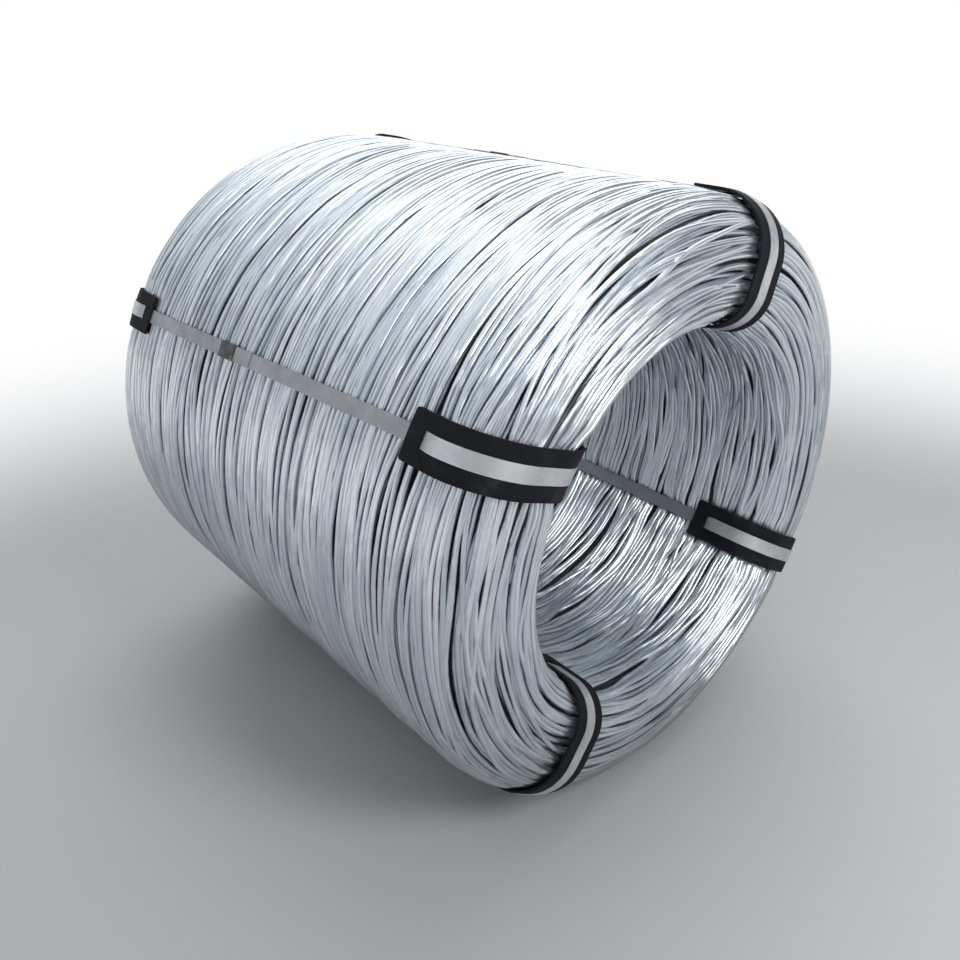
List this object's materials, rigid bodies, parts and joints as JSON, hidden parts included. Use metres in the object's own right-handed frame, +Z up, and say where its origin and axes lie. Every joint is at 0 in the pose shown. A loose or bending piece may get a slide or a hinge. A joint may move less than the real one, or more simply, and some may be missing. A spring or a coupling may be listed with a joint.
{
  "type": "wire coil",
  "caption": "Heavy coil of bright galvanized steel wire lying on its side, bound lengthwise by flat steel straps that thread through black edge pads on both lips.",
  "frame": {"origin": "on the floor under the middle of the coil as it lies, at the bottom centre of the bounding box", "axes": "+X along the coil's axis towards the end that faces the viewer in the picture, +Z up, -Y towards the front side of the barrel"},
  "size_m": [0.809, 0.8, 0.8],
  "materials": {
    "zinc_wire": "bright zinc coating on drawn wire",
    "strap_steel": "plain rolled steel band",
    "pad_rubber": "matt black moulded rubber",
    "seal_steel": "dark crimped sheet steel"
  },
  "bodies": {
    "root": {"wire_coil": "zinc_wire", "front_strap": "strap_steel", "front_pad_right": "pad_rubber", "front_pad_left": "pad_rubber", "front_seal": "seal_steel", "top_strap": "strap_steel", "top_pad_right": "pad_rubber", "top_pad_left": "pad_rubber", "top_seal": "seal_steel", "back_strap": "strap_steel", "back_pad_right": "pad_rubber", "back_pad_left": "pad_rubber", "back_seal": "seal_steel", "bottom_strap": "strap_steel", "bottom_pad_right": "pad_rubber", "bottom_pad_left": "pad_rubber", "bottom_seal": "seal_steel"}
  },
  "joints": []
}
